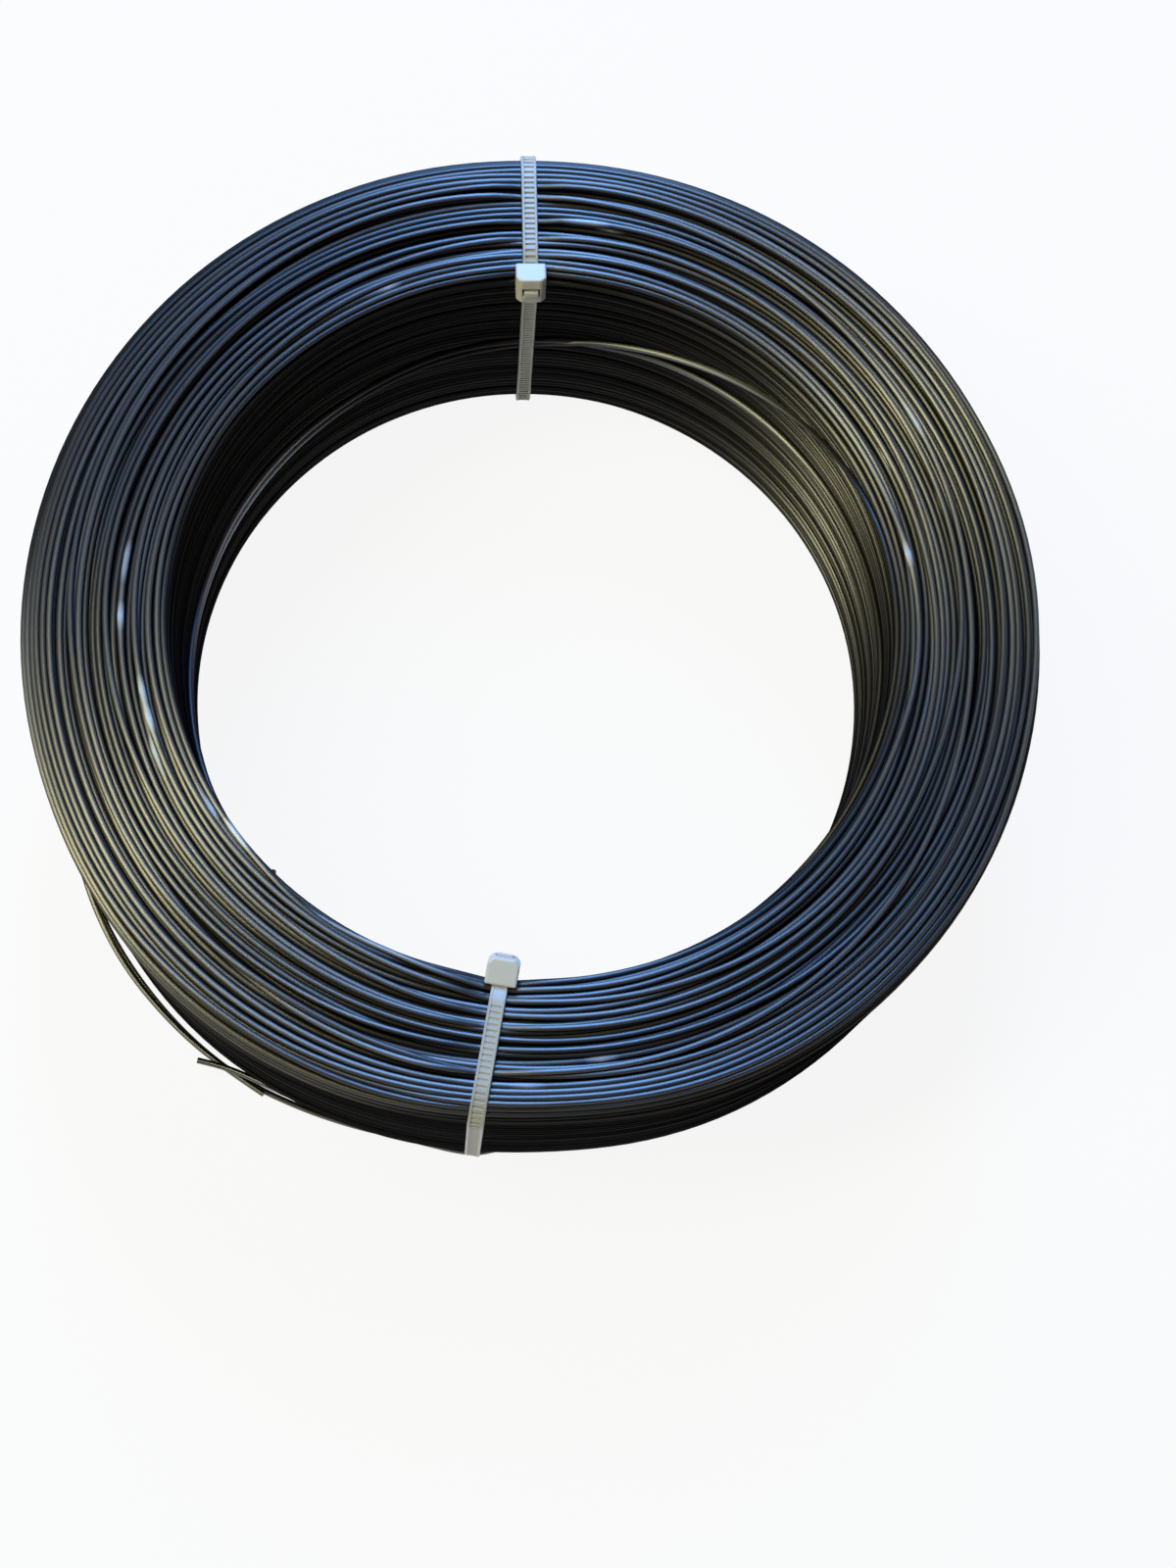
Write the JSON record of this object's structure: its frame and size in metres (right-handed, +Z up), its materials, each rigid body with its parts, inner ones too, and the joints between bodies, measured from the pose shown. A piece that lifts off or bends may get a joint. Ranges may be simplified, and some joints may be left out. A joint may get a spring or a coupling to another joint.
{
  "type": "coil of aluminium tie wire",
  "caption": "Flat ring-shaped coil of black aluminium tie wire with an open eye, bound by nylon cable ties, for tying and binding work.",
  "frame": {"origin": "on the coil's axis at floor level, where the straps under the coil rest", "axes": "+Z up along the coil's axis; +Y through the back cable tie; +X to the right seen from the front"},
  "size_m": [0.1603, 0.1624, 0.0535],
  "materials": {
    "black_wire": "glossy black coating on drawn aluminium wire",
    "natural_nylon": "natural uncoloured nylon, slightly translucent"
  },
  "bodies": {
    "root": {"wire_coil": "black_wire", "loose_strand_lower": "black_wire", "loose_strand_upper": "black_wire", "outer_wire_end": "black_wire", "inner_wire_end": "black_wire", "cable_tie_back": "natural_nylon", "cable_tie_front": "natural_nylon"}
  },
  "joints": []
}
